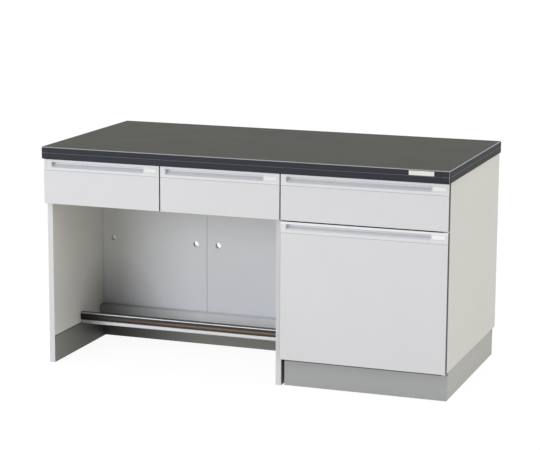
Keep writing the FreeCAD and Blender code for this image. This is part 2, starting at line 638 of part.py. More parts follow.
def drawer(label, bay_x0, bay_x1, front_x0, front_x1, floor_z, depth, filler=0.0):
    box_z = floor_z + BOX_LIFT
    box_x0 = bay_x0 + SLIDE_SPACE
    box_x1 = bay_x1 - SLIDE_SPACE
    slide_y0 = board_y + SLIDE_FRONT_GAP
    slide_y1 = face_back_y + depth - SLIDE_REAR_CUT
    slide_z = box_z + SLIDE_LIFT + SLIDE_HEIGHT / 2
    inner_height = SLIDE_HEIGHT - 2 * SLIDE_SHEET - 2 * SLIDE_CLEARANCE
    strip, card = grip_strip(front_x0, front_x1, fronts_top, filler)
    save(label + "_front", front_board(front_x0, front_x1, drawer_front_z, fronts_top))
    save(label + "_grip", strip)
    save(label + "_card", card)
    save(label + "_box", *drawer_box(box_x0, box_x1, box_z, depth))
    save(label + "_slide_rails",
         slide_channel(bay_x0, 1, SLIDE_HEIGHT, slide_y0, slide_y1, slide_z),
         slide_channel(bay_x1, -1, SLIDE_HEIGHT, slide_y0, slide_y1, slide_z))
    save(label + "_slide_runners",
         slide_channel(box_x0, -1, inner_height, slide_y0, slide_y1, slide_z),
         slide_channel(box_x1, 1, inner_height, slide_y0, slide_y1, slide_z))


def drawers():
    half = REVEAL / 2
    knee_box_depth = knee_back_y - KNEE_BOX_REAR_GAP - face_back_y
    drawer("drawer_left", knee_left, knee_middle - PARTITION / 2,
           carcass_left, knee_middle - half, bay_floor_top, knee_box_depth, GRIP_FILLER)
    drawer("drawer_middle", knee_middle + PARTITION / 2, knee_right,
           knee_middle + half, units_meet - half, bay_floor_top, knee_box_depth)
    drawer("drawer_right", pedestal_left, pedestal_right,
           units_meet + half, carcass_right, divider_top, PEDESTAL_BOX_DEPTH)


# ---- door ---------------------------------------------------------------------------------
def door():
    x0 = units_meet + REVEAL / 2
    x1 = carcass_right
    strip, card = grip_strip(x0, x1, door_top)
    board = front_board(x0, x1, BASE_HEIGHT, door_top)
    low_bush = bush(BASE_HEIGHT, Z_AXIS)
    high_bush = bush(door_top, -Z_AXIS)
    for each in (low_bush, high_bush):
        seat = rod(BUSH_DIAMETER / 2, Vector(pivot_x, pivot_y, each.BoundBox.ZMin), Z_AXIS,
                   each.BoundBox.ZLength)
        board = board.cut(seat)
        strip = strip.cut(seat)
    save("door_panel", board)
    save("door_grip", strip)
    save("door_card", card)
    save("door_pivot_bushes", low_bush, high_bush)

    strike_x0 = pedestal_left + CATCH_EDGE
    strike_z1 = divider_z
    strike_y0 = face_back_y
    strike_y1 = strike_y0 + STRIKE_THICKNESS
    save("door_strike", block(strike_x0, strike_x0 + CATCH_WIDTH, strike_y0, strike_y1,
                              strike_z1 - STRIKE_HEIGHT, strike_z1))
    catch_y0 = strike_y1 + CATCH_GAP
    save("door_catch", block(strike_x0, strike_x0 + CATCH_WIDTH, catch_y0, catch_y0 + CATCH_DEPTH,
                             divider_z - CATCH_HEIGHT, divider_z))


def main():
    os.makedirs("parts", exist_ok=True)
    worktop()
    knee_unit()
    footrest()
    joining_bolts()
    pedestal()
    plinth()
    edge_bands()
    drawers()
    door()
    pivot_brackets()


main()
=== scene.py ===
"""Finish of a laboratory side bench: its materials, small hardware and a plain studio.

The bench's boards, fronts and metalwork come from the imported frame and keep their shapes. This file
gives each of them a finish, adds the thin trim and fasteners, and sets up floor, light and camera.
All lengths are metres in the frame of the bench: +Z up, front towards -Y, origin on the floor.
"""

import itertools
import math

import bpy
import numpy as np
from bpy.props import FloatProperty, FloatVectorProperty, IntProperty, PointerProperty
from mathutils import Matrix, Vector


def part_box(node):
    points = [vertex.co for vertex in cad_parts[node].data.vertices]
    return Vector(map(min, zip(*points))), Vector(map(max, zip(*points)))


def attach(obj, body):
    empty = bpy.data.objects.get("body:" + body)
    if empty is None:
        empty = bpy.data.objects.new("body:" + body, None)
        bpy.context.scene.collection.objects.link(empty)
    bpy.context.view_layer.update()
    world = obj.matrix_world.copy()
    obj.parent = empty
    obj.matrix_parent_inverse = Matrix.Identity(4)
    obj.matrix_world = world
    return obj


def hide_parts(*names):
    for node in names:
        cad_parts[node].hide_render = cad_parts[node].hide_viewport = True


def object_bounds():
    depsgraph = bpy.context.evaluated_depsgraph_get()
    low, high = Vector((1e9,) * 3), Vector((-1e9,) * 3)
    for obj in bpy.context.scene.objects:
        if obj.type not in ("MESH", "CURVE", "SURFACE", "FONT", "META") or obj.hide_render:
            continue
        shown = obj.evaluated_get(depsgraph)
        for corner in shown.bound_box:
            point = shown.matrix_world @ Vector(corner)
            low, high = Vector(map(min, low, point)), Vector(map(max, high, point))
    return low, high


bl_info = {
    "name": "Laboratory Side Bench Finish",
    "version": (1, 0, 0),
    "blender": (4, 5, 0),
    "location": "3D View > Sidebar > Bench",
    "description": "Materials, trim, fasteners and a studio for a laboratory side bench",
    "category": "Object",
}

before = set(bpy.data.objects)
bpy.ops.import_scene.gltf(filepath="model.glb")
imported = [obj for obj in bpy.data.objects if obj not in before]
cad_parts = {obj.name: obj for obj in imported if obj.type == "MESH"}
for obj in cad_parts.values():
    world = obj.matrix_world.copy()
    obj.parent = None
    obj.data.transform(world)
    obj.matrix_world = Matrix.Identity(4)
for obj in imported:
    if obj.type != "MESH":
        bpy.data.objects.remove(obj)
CAD_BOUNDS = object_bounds()
MM = 0.001

X_AXIS = Vector((1, 0, 0))
Y_AXIS = Vector((0, 1, 0))
Z_AXIS = Vector((0, 0, 1))

DRAWERS = ("drawer_left", "drawer_middle", "drawer_right")
FRONTS = DRAWERS + ("door",)

# ---- places of the small hardware ----
SLIDE_SHEET = 1.5 * MM    # sheet of slide rails and runners
BOX_BOARD = 12 * MM       # boards of the drawer boxes
BATTEN_WIDTH = 22 * MM
SCREW_MARGIN = 18 * MM    # screws from the end of what they hold
BRACKET_HOLE = 12 * MM    # screws of a pivot bracket from its plate, and from each other
CATCH_HOLE = 14 * MM      # screws from the middle of the catch
RAIL_HOLE = 14 * MM       # screws from the edge of a top rail
PLATE_SEAT = 0.6 * MM     # depth of the seat for the blank plate
PIVOT_CLEAR = 20 * MM     # top band of the door ends this far before its pivot edge
CAP_EDGE = 34 * MM        # connector caps from the sides of their board
BUFFER_EDGE = 8 * MM      # buffers from the sides of a front
BUFFER_LIFT = 12 * MM     # lower buffers above the lower edge
BUFFER_DROP = 60 * MM     # upper buffers under the upper edge
BUFFER_CLEARANCE = 0.1 * MM
HIDDEN = 0.2 * MM         # how deep heads and caps are sunk in what carries them

# ---- painted shade and highlights, and wear ----
SHADED_CORNER = (-0.725, 0.1, 0.09)    # where left leg, back and base meet in the knee space; painted shade darkens boards towards it
DARKEST_WITHIN = 0.03           # it is darkest up to this far from the corner
BOARD_CORNER_SHADE = (0.26, 0.5)  # how far the painted shade reaches on boards, and the share of colour that it leaves
BASE_CORNER_SHADE = (0.42, 0.16)  # the same on bases
BASE_SHADOW_FROM = 95 * MM      # height from which a painted shadow darkens a base, under the boards on it
PLINTH_SHADOW_FROM = 87 * MM    # the same on the plinth
SHADOW_EDGE = 2 * MM       # height over which that painted shadow sets in
SCUFF_HEIGHT = 30 * MM    # scuffs end this far above the floor
GROOVE_HIGHLIGHT = (0.7 * MM, 1.0 * MM)    # painted highlight along the groove: full, and none, this far from its middle
TREAD_LIP_SHADOW = (4.0 * MM, 4.5 * MM)     # painted shadow over the tread: full, and none, this far above it
TREAD_SHADE = (0.05, 0.45)            # deep, and none, this far from the left leg
GRIP_HEIGHT = 39 * MM
GRIP_LIT_LIP = (0.2, 0.24)    # where the upper rim, painted brighter, ends, as a share of the height below the grip's top
GRIP_SCOOP_SHADE = ((0.22, 0.45), (0.27, 0.4), (0.32, 0.05), (0.39, 0.1), (0.45, 0.6), (0.52, 0.5),
              (0.62, 0.2), (0.74, 0.0))     # the same share, and how deep the painted shade in the scoop is there

# ---- studio ----
FLOOR_SIZE = 60.0
FLOOR_LEVEL = (0.12, 0.12, 0.12)      # as the eye sees it, without its glow
FLOOR_BOUNCE = (0.64, 0.61, 0.5)      # as the bench is lit by it
FLOOR_GLOW = 0.92
HORIZON_SHARE = 0.12      # ambient light at the horizon, as a share of that from overhead
OVERHEAD_FULL = 0.8       # height of the direction from which it is full
LAMP_TARGET = (0.0, 0.0, 0.4)
KEY_LAMP = ((-5.4, -10.5, 2.1), 7.0, (0.9, 0.93, 1.0))  # place, width and tint
FILL_LAMP = ((11.7, -2.1, 1.3), 4.6, (0.985, 0.995, 1.0))

# ---- shaders and meshes ----
FACING = (0.9, 0.95)      # part of the normal along an axis: not facing that way, facing it
MIX_LOW, MIX_HIGH, MIX_RESULT = 6, 7, 2  # colour sockets of a Mix node
CREASE = math.radians(35)             # edges sharper than this stay sharp
CORNER_STEPS = 5          # points on a quarter circle


# ---- properties ----
def colour_property(name, red, green, blue, description):
    """Colour as it shows on a screen, given by its three levels from 0 to 255."""
    return FloatVectorProperty(name=name, description=description, subtype="COLOR_GAMMA", size=3,
                               min=0, max=1, default=(red / 255, green / 255, blue / 255))


def number_property(name, value, description, least=0.0, **kind):
    return FloatProperty(name=name, description=description, min=least, default=value, **kind)


def length_property(name, millimetres, description):
    return number_property(name, millimetres * MM, description, subtype="DISTANCE", unit="LENGTH",
                           precision=5)


def angle_property(name, degrees, description):
    return number_property(name, math.radians(degrees), description, -math.pi, subtype="ANGLE")


class BenchColours(bpy.types.PropertyGroup):
    """Colours of the bench's finishes."""

    worktop: colour_property("Worktop", 58, 58, 51, "Laminate on the worktop")
    edging: colour_property("Edging", 47, 50, 57, "Moulded strip round the worktop")
    # pale colour painted on the edging's upper rounding and corners, as a highlight
    arris_highlight: colour_property("Rubbed edging", 186, 187, 188, "Edging where hands rub its edges")
    # pale colour painted along the groove of the edging, as a highlight
    groove_highlight: colour_property("Dust", 104, 105, 107, "Dust in the groove of the edging")
    carcass: colour_property("Carcass", 229, 228, 225, "Melamine face of legs and sides")
    # the carcass melamine painted cooler where boards face the front, standing in for the front
    # light's tint
    backs: colour_property("Backs", 222, 224, 229, "Melamine face of backs and rails")
    band: colour_property("Edge band", 224, 224, 228, "Band on the front edges of the carcass")
    fronts: colour_property("Fronts", 225, 225, 230, "Melamine face of drawers and door")
    grip: colour_property("Grip", 230, 231, 236, "Moulded grip strip")
    trim: colour_property("Front edges", 44, 45, 48, "Dark band on the edges of the fronts")
    # the plinth's front and rear are painted darker than its sides, as shade
    plinth: colour_property("Plinth", 175, 177, 178, "Laminate on the plinth's front and rear")
    plinth_ends: colour_property("Plinth ends", 189, 189, 186, "Laminate on the plinth's sides")
    # the same laminate as the plinth, painted darker as the shade in the knee space
    bases: colour_property("Bases", 136, 137, 132, "Laminate on the bases of the knee space")
    chipboard: colour_property("Chipboard", 170, 143, 108, "Raw board at the edges without a band")
    sealed: colour_property("Sealed edges", 136, 137, 139, "Painted edges of the knee panels")
    drawer: colour_property("Drawer boxes", 222, 221, 214, "Inside of the drawers")
    aluminium: colour_property("Aluminium", 188, 189, 190, "Anodised bar of the footrest")
    tread: colour_property("Tread", 98, 82, 68, "Ribbed tread of the footrest")
    steel: colour_property("Slides", 186, 189, 192, "Rolled steel of the drawer slides")
    zinc: colour_property("Fittings", 196, 197, 194, "Zinc plate of brackets and screws")
    nylon: colour_property("Nylon", 224, 221, 208, "Pivot bushes")
    catch: colour_property("Catch", 206, 205, 200, "Plastic body of the door catch")
    card: colour_property("Card", 252, 253, 255, "Blank cards")
    plate: colour_property("Blank plate", 236, 235, 232, "Blank plate on the worktop's edge")
    buffer: colour_property("Buffers", 120, 118, 112, "Soft pads behind the fronts")


class BenchSizes(bpy.types.PropertyGroup):
    """Sizes of the pieces that this file adds."""

    band_thickness: length_property("Band thickness", 0.5, "Dark band on the edges of the fronts")
    band_inset: length_property("Band inset", 0.8, "Dark band behind the face of a front")
    plate_width: length_property("Plate width", 87.4, "Blank plate along the worktop's edge")
    plate_height: length_property("Plate height", 15.4, "Height of the blank plate")
    plate_corner: length_property("Plate corner", 1.3, "Radius of its corners")
    plate_drop: length_property("Plate drop", 4.3, "Top of the plate under the worktop's face")
    plate_inset: length_property("Plate inset", 54.3, "Plate from the worktop's right end")
    tread_crown: length_property("Tread crown", 2.0, "Middle of the tread in front of its edges")
    rib_depth: length_property("Rib depth", 0.4, "Grooves between the ribs of the tread")
    rib_count: IntProperty(name="Ribs", description="Ribs along the tread", min=1, default=4)
    card_bow: length_property("Card bow", 0.25, "How far the middle of a card stands out")
    card_thickness: length_property("Card thickness", 0.25, "Stiff paper")
    screw_radius: length_property("Screw head", 3.6, "Radius of the pan heads")
    screw_height: length_property("Head height", 1.5, "Height of the pan heads")
    buffer_radius: length_property("Buffer radius", 4.0, "Soft pads behind the fronts")
    cap_radius: length_property("Cap radius", 8.5, "Caps over the board connectors")
    cap_height: length_property("Cap height", 1.2, "Height of those caps")


class StudioSettings(bpy.types.PropertyGroup):
    """Camera and lamps."""

    lens: number_property("Lens", 125.37, "Focal length for a 36 mm sensor", least=10)
    eye: FloatVectorProperty(name="Camera", description="Place of the camera", subtype="XYZ",
                             unit="LENGTH", default=(2.2565, -6.3439, 1.7937))
    heading: angle_property("Heading", 19.70, "Turn of the camera from +Y towards -X")
    tilt: angle_property("Tilt", 10.87, "How far the camera looks down")
    roll: angle_property("Roll", 0.31, "Turn of the camera about its view")
    ambient: number_property("Ambient", 0.95, "Light from all round")
    key: number_property("Key lamp", 665, "Lamp at the front left, in watts")
    fill: number_property("Fill lamp", 260, "Lamp at the front right, in watts")


# ---- node materials ----
def linear(colour, factor=1.0):
    """Display colour to the linear colour of a shader: the sRGB curve, then times factor."""
    level = np.asarray(colour[:3], float)
    curve = np.where(level <= 0.04045, level / 12.92, ((level + 0.055) / 1.055) ** 2.4)
    return (*np.clip(curve * factor, 0, 1), 1.0)


class NodeTree:
    """Short ways to add nodes to a tree and to join them."""

    def __init__(self, tree):
        self.tree = tree

    def feed(self, socket, value):
        """Gives an input a plain value or the output of a node."""
        if isinstance(value, bpy.types.NodeSocket):
            self.tree.links.new(value, socket)
        else:
            socket.default_value = value

    def add(self, kind, output, inputs=None, **settings):
        """An output of a new node, whose inputs are fed by their names or numbers."""
        node = self.tree.nodes.new(kind)
        for name, value in settings.items():
            setattr(node, name, value)
        for key, value in (inputs or {}).items():
            self.feed(node.inputs[key], value)
        return node.outputs[output]

    def math(self, operation, *values):
        """Result of a Math node."""
        return self.add("ShaderNodeMath", "Value", dict(enumerate(values)), operation=operation)

    def spread(self, value, low, high, to_low=0.0, to_high=1.0):
        """value from low to high becomes to_low to to_high, and no more."""
        return self.add("ShaderNodeMapRange", "Result", {
            "Value": value, "From Min": low, "From Max": high, "To Min": to_low, "To Max": to_high})

    def blend(self, factor, low, high):
        """Colour between low and high."""
        return self.add("ShaderNodeMix", MIX_RESULT, {
            "Factor": factor, MIX_LOW: low, MIX_HIGH: high}, data_type="RGBA")


class Finish(NodeTree):
    """Material with one Principled shader, whose patterns are read in Object coordinates."""

    def __init__(self, name, colour, roughness, metallic=0.0, specular=0.5, edge_softness=0.5 * MM):
        self.colour = colour
        self.material = bpy.data.materials.new(name)
        self.material.use_nodes = True
        self.material.diffuse_color = linear(colour)
        super().__init__(self.material.node_tree)
        self.inputs = self.tree.nodes["Principled BSDF"].inputs
        self.give("Base Color", linear(colour))
        self.give("Roughness", roughness)
        self.give("Metallic", metallic)
        self.give("Specular IOR Level", specular)
        self.coordinates = self.tree.nodes.new("ShaderNodeTexCoord").outputs
        self.bevel = {}
        if edge_softness:
            bevel = self.add("ShaderNodeBevel", "Normal", {"Radius": edge_softness}, samples=4)
            self.bevel["Normal"] = bevel
            self.give("Normal", bevel)

    def give(self, name, value):
        """Feeds an input of the shader."""
        self.feed(self.inputs[name], value)

    def scaled(self, feature, stretch):
        """Object coordinates with a feature as their unit, drawn out along each axis by stretch."""
        return self.add("ShaderNodeMapping", "Vector", {
            "Vector": self.coordinates["Object"], "Scale": [1 / (feature * s) for s in stretch]})

    def noise(self, feature, stretch=(1, 1, 1), detail=3.0, contrast=0.25):
        """Noise from 0 to 1 with features of a given size."""
        level = self.add("ShaderNodeTexNoise", "Fac", {
            "Vector": self.scaled(feature, stretch), "Scale": 1.0, "Detail": detail})
        return self.spread(level, 0.5 - contrast, 0.5 + contrast)

    def chips(self, feature, stretch):
        """A grey level for each cell of a pattern of flakes."""
        cells = self.add("ShaderNodeTexVoronoi", "Color", {
            "Vector": self.scaled(feature, stretch), "Scale": 1.0})
        return self.add("ShaderNodeSeparateColor", "Red", {"Color": cells})

    def part(self, source, axis):
        """One component of the coordinates named Object or Normal."""
        return self.add("ShaderNodeSeparateXYZ", "XYZ"[axis], {"Vector": self.coordinates[source]})

    def facing(self, axis, sign=0):
        """1 on faces that look along the axis, and 0 elsewhere. With a sign, only that way."""
        part = self.part("Normal", axis)
        if sign == 0:
            return self.spread(self.math("ABSOLUTE", part), *FACING)
        return self.spread(part, sign * FACING[0], sign * FACING[1])

    def near(self, value, middle, full, none):
        """1 where value is less than full away from the middle, 0 where it is none away or more."""
        distance = self.math("ABSOLUTE", self.math("SUBTRACT", value, middle))
        return self.spread(distance, none, full)

    def ramp(self, value, stops):
        """Grey level that runs straight from stop to stop. A stop is (value from 0 to 1, level)."""
        colour = self.add("ShaderNodeValToRGB", "Color", {"Fac": value})
        elements = colour.node.color_ramp.elements
        while len(elements) < len(stops):
            elements.new(1.0)
        for element, (position, level) in zip(elements, stops):
            element.position = position
            element.color = (level, level, level, 1)
        return colour

    def with_painted_light(self, colour, reach, least):
        """The colour, with painted shade that darkens it from reach on towards the shaded corner of
        the knee space, down to least. The leg's outer face and the rear faces of the boards stay
        unshaded."""
        distance = self.add("ShaderNodeVectorMath", "Value", {
            0: self.coordinates["Object"], 1: SHADED_CORNER}, operation="DISTANCE")
        near = self.spread(distance, reach, DARKEST_WITHIN)
        outside = self.math("MAXIMUM", self.facing(0, -1), self.facing(1, 1))
        return self.blend(self.math("MULTIPLY", near, self.math("SUBTRACT", 1.0, outside)),
                          colour, linear(self.colour, least))

    def mottle(self, pattern, amount):
        """Colour that goes up and down by amount as the pattern does."""
        return self.blend(pattern, linear(self.colour, 1 - amount), linear(self.colour, 1 + amount))

    def coat(self, colour, pattern, gloss, relief=None, height=0.0):
        """The material with a colour. Its roughness runs from one value of gloss, if there is any,
        to the other as the pattern does, and it is raised by height where the relief is 1."""
        self.give("Base Color", colour)
        if gloss:
            self.give("Roughness", self.spread(pattern, 0, 1, *gloss))
        if height:
            self.give("Normal", self.add("ShaderNodeBump", "Normal", {
                "Strength": 1.0, "Distance": height, "Height": relief, **self.bevel}))
        return self.material


# ---- the bench's finishes ----
def worktop_laminate(colours):
    """Dark matt laminate: fine crystal texture, faint speckle, and a bare backing underneath."""
    finish = Finish("worktop_laminate", colours.worktop, roughness=0.5, specular=0.1)
    cloud = finish.noise(0.16, detail=2)
    speckle = finish.noise(1.6 * MM, detail=4)
    face = finish.blend(speckle, finish.mottle(cloud, 0.012), linear(colours.worktop, 1.1))
    colour = finish.blend(finish.facing(2, -1), face, linear(colours.edging, 1.6))
    return finish.coat(colour, cloud, (0.5, 0.53), finish.noise(0.9 * MM), 0.02 * MM)


def edge_strip(colours):
    """Near-black moulding with faint draw lines. Its faces at the bench's ends are duller, and
    painted darker as shade. A highlight is painted pale on its upper rounding, on the bench's corners
    and along its groove."""
    finish = Finish("edge_strip", colours.edging, roughness=0.42, specular=0.14, edge_softness=0)
    lines = finish.noise(0.8 * MM, stretch=(300, 300, 1), detail=2)
    # painted highlight on the upper rounding
    upward = finish.part("Normal", 2)
    arris_highlight = finish.math("MULTIPLY", finish.spread(upward, 0.2, 0.3),
                        finish.spread(upward, 0.97, 0.93))
    sideways = finish.math("MINIMUM", finish.math("ABSOLUTE", finish.part("Normal", 0)),
                           finish.math("ABSOLUTE", finish.part("Normal", 1)))
    # painted highlight on the rounded vertical corners
    corner = finish.spread(sideways, 0.5, 0.62, 0.0, 0.55)
    highlight_breakup = finish.noise(9 * MM, stretch=(6, 6, 1), contrast=0.3)
    painted_highlight = finish.math("MULTIPLY", finish.math("MAXIMUM", arris_highlight, corner),
                         finish.spread(highlight_breakup, 0, 1, 0.8, 1.0))
    # pale line painted along the groove as a highlight
    groove = finish.near(finish.part("Object", 2), middle("worktop_edge_front").z, *GROOVE_HIGHLIGHT)
    # the faces at the bench's ends are painted darker, as shade, and get less specular
    end = finish.facing(0)
    body = finish.blend(end, finish.mottle(lines, 0.14), linear(colours.edging, 0.6))
    with_painted_light = finish.blend(groove, body, linear(colours.groove_highlight))
    finish.give("Specular IOR Level", finish.spread(end, 0, 1, 0.14, 0.04))
    return finish.coat(finish.blend(painted_highlight, with_painted_light, linear(colours.arris_highlight)), finish.noise(30 * MM),
                       (0.38, 0.46), lines, 0.015 * MM)


def board_finish(name, colour, facing_axis, edge):
    """Melamine board with a pearl texture on its two faces and its front edge. Its other edges have
    the flakes of chipboard, in the colour named edge."""
    finish = Finish(name, colour, roughness=0.42, specular=0.35)
    cloud = finish.noise(0.22, detail=2)
    face = finish.mottle(cloud, 0.012)
    raw = finish.blend(finish.chips(2.2 * MM, stretch=(2, 2, 0.5)),
                       linear(edge, 0.75), linear(edge, 1.2))
    covered = finish.math("MAXIMUM", finish.facing(facing_axis), finish.facing(1, -1))
    # painted shade: the board goes darker towards the knee space's corner
    colour = finish.with_painted_light(finish.blend(covered, raw, face), *BOARD_CORNER_SHADE)
    return finish.coat(colour, cloud, (0.38, 0.46), finish.noise(1.3 * MM, detail=2), 0.03 * MM)


def front_melamine(colours):
    """Pale front with a fine pearl texture and a hardly visible cloudiness. The sunk seam under
    its grip is painted dark, as shade."""
    finish = Finish("front_melamine", colours.fronts, roughness=0.4, edge_softness=0)
    cloud = finish.noise(0.18, detail=2)
    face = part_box("door_panel")[0].y
    # the face sunk in the seam under the grip is painted dark, as shade
    sunk = finish.spread(finish.part("Object", 1), face + 0.4 * MM, face + 0.6 * MM)
    shaded_joint = finish.math("MULTIPLY", sunk, finish.facing(1, -1))
    colour = finish.blend(shaded_joint, finish.mottle(cloud, 0.012), linear(colours.trim))
    return finish.coat(colour, cloud, (0.36, 0.44), finish.noise(1.1 * MM, detail=2), 0.02 * MM)


def grip_plastic(name, colours, top):
    """Moulded grip: satin, with faint flow lines along it and an upper rim painted brighter as light.
    In its scoop the colour goes darker and lighter with the distance below the grip's top, as painted
    shade under the rim and where the back meets the slope."""
    finish = Finish(name, colours.grip, roughness=0.34, edge_softness=0)
    flow = finish.noise(2 * MM, stretch=(80, 1, 1), detail=2)
    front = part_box("door_panel")[0].y
    sunk = finish.spread(finish.part("Object", 1), front + 0.4 * MM, front + 0.9 * MM)
    below_top = finish.spread(finish.part("Object", 2), top, top - GRIP_HEIGHT)
    # painted shade in the scoop, by the height below the grip's top
    painted_shade = finish.math("MULTIPLY", sunk, finish.ramp(below_top, GRIP_SCOOP_SHADE))
    # painted light: the upper rim is brighter than the rest of the grip
    lit_lip = finish.spread(below_top, GRIP_LIT_LIP[1], GRIP_LIT_LIP[0])
    face = finish.blend(lit_lip, finish.mottle(flow, 0.008), linear(colours.grip, 1.14))
    colour = finish.blend(painted_shade, face, linear(colours.grip, 0.7))
    return finish.coat(colour, flow, (0.31, 0.38), finish.noise(0.6 * MM, detail=2), 0.008 * MM)


def base_laminate(name, colour, shadow_from=1.0):
    """Grey laminate of plinth and bases, with light scuffs near the floor, and with a painted shadow
    from a height on, under the boards that stand over it."""
    finish = Finish(name, colour, roughness=0.45, specular=0.35)
    cloud = finish.noise(0.12)
    height = finish.part("Object", 2)
    scuffs = finish.math("MULTIPLY", finish.spread(height, SCUFF_HEIGHT, 0.0),
                         finish.noise(6 * MM, stretch=(8, 8, 1), contrast=0.12))
    scuffed = finish.blend(scuffs, finish.mottle(cloud, 0.02), linear(colour, 0.93))
    # painted shadow from a height on, under the boards that stand over it
    shadow_band = finish.spread(height, shadow_from, shadow_from + SHADOW_EDGE)
    # painted shade: darker towards the knee space's corner
    painted_shade = finish.with_painted_light(finish.blend(shadow_band, scuffed, linear(colour, 0.25)), *BASE_CORNER_SHADE)
    return finish.coat(painted_shade, cloud, (0.42, 0.5), finish.noise(1.2 * MM, detail=2), 0.02 * MM)


def footrest_aluminium(colours):
    """Anodised bar with draw lines along it. Its top is dull and painted dark as shade, as is a band
    along the upper edge of the tread, and the bar above the tread is painted darker as shade."""
    finish = Finish("footrest_aluminium", colours.aluminium, roughness=0.36, metallic=1.0,
                    edge_softness=0.3 * MM)
    lines = finish.noise(0.5 * MM, stretch=(300, 1, 1))
    height = finish.part("Object", 2)
    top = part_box("footrest_tread")[1].z
    # the bar above the tread is painted darker, as shade
    upper_lip = finish.spread(height, top - MM, top)
    # painted shadow in a band just over the tread
    beside_tread = finish.math("MULTIPLY", upper_lip, finish.near(height, top, *TREAD_LIP_SHADOW))
    # painted shade on the top faces and in that band, which are also not metallic
    painted_dark = finish.math("MAXIMUM", finish.facing(2, 1), beside_tread)
    bright = finish.blend(upper_lip, finish.mottle(lines, 0.05), linear(colours.aluminium, 0.75))
    finish.give("Metallic", finish.math("SUBTRACT", 1.0, painted_dark))
    colour = finish.blend(painted_dark, bright, linear(colours.aluminium, 0.01))
    return finish.coat(colour, lines, (0.3, 0.44), lines, 0.004 * MM)


def moulded_plastic(name, colour, roughness=0.4):
    """Plain moulded plastic with a faint spark-eroded texture."""
    finish = Finish(name, colour, roughness=roughness, edge_softness=0.3 * MM)
    grain = finish.noise(0.5 * MM)
    return finish.coat(finish.mottle(finish.noise(12 * MM), 0.015), grain,
                       (roughness - 0.04, roughness + 0.05), grain, 0.008 * MM)


def tread_vinyl(colours):
    """Brown vinyl with long streaks like wood grain, with a painted highlight along its upper part,
    painted shade lower down, a painted shadow along its upper edge and one towards the left leg."""
    finish = Finish("tread_vinyl", colours.tread, roughness=0.5, specular=0.3, edge_softness=0)
    streaks = finish.noise(1.8 * MM, stretch=(60, 1, 1), detail=5, contrast=0.18)
    low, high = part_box("footrest_tread")
    height = finish.spread(finish.part("Object", 2), low.z, high.z)
    # painted highlight along the upper part
    upper_highlight = finish.near(height, 0.58, 0.05, 0.16)
    wood = finish.blend(streaks, linear(colours.tread, 0.7), linear(colours.tread, 1.2))
    toned = finish.blend(upper_highlight, wood, linear(colours.tread, 1.7))
    # painted shade across the lower part
    dark_below = finish.near(height, 0.24, 0.05, 0.14)
    shaded = finish.blend(dark_below, toned, linear(colours.tread, 0.4))
    # painted shadow along the upper edge, under the bar
    upper_edge = finish.spread(height, 0.76, 0.82)
    lip_shadowed = finish.blend(upper_edge, shaded, linear(colours.tread, 0.01))
    # painted shadow towards the left leg
    far_end = finish.near(finish.part("Object", 0), SHADED_CORNER[0], *TREAD_SHADE)
    colour = finish.blend(far_end, lip_shadowed, linear(colours.tread, 0.04))
    return finish.coat(colour, streaks, (0.4, 0.54), streaks, 0.03 * MM)


# Finishes with one pattern, by the name of their material: colour, roughness, ends of the gloss,
# noise, how far it turns the shade, height of the relief, its grain, and what else Finish takes.
PLAIN = {
    # a little smoother than the boards
    "edge_band": ("band", 0.36, (0.33, 0.4), (1.5 * MM, (1, 1, 60), 2), 0.01, 0.02 * MM, 1.2 * MM,
                  {"edge_softness": 0.4 * MM}),
    "front_trim": ("trim", 0.5, (0.4, 0.5), (MM, (1, 1, 80), 2), 0.06, 0, None,
                   {"specular": 0.2, "edge_softness": 0}),
    # narrow streaks along the slides
    "slide_steel": ("steel", 0.34, (0.28, 0.42), (0.5 * MM, (1, 300, 1)), 0.05, 0.004 * MM, None,
                    {"metallic": 1.0, "edge_softness": 0.3 * MM}),
    # soft cloudy spots
    "zinc_steel": ("zinc", 0.32, (0.26, 0.42), (3 * MM, (1, 1, 1), 4), 0.08, 0.006 * MM, 0.5 * MM,
                   {"metallic": 1.0, "edge_softness": 0.2 * MM}),
    # a trace of fibre
    "label_card": ("card", 0.6, None, (0.7 * MM, (3, 1, 1), 4), 0.01, 0.01 * MM, None,
                   {"edge_softness": 0}),
    # fine brushing along its length
    "blank_plate": ("plate", 0.35, (0.3, 0.42), (0.4 * MM, (80, 1, 1)), 0.03, 0.006 * MM, None,
                    {"edge_softness": 0}),
    # slightly dusty
    "buffer_rubber": ("buffer", 0.6, (0.52, 0.68), (1.5 * MM,), 0.08, 0, None,
                      {"edge_softness": 0}),
}


def plain_finish(name, colours):
    """Finish with one pattern. Its relief follows the grain, or else that pattern."""
    colour, roughness, gloss, noise, shade, height, grain, surface = PLAIN[name]
    finish = Finish(name, getattr(colours, colour), roughness, **surface)
    pattern = finish.noise(*noise)
    relief = finish.noise(grain) if grain else pattern
    return finish.coat(finish.mottle(pattern, shade), pattern, gloss, relief, height)


# ---- surfaces ----
def dress(names, material):
    """Gives the frame's nodes a material. Their shapes stay as they are."""
    for name in names:
        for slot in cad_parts[name].material_slots:
            slot.material = material


def thin_axis(name):
    """Axis, 0 to 2, along which a board is thinnest."""
    low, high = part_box(name)
    return int(np.argmin(high - low))


def placed(name, data):
    """Object with the data, linked to the scene."""
    holder = bpy.data.objects.new(name, data)
    bpy.context.scene.collection.objects.link(holder)
    return holder


def middle(name):
    """Centre of a node's box."""
    low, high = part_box(name)
    return (low + high) / 2


def add_piece(name, points, face_groups, material, body):
    """Mesh which rides on a body. Each group of faces is one array of corner numbers."""
    mesh = bpy.data.meshes.new(name)
    faces = [face for group in face_groups for face in group.tolist()]
    mesh.from_pydata(points.tolist(), [], faces, shade_flat=False)
    mesh.set_sharp_from_angle(angle=CREASE)
    mesh.materials.append(material)
    piece = placed(name, mesh)
    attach(piece, body)
    return piece


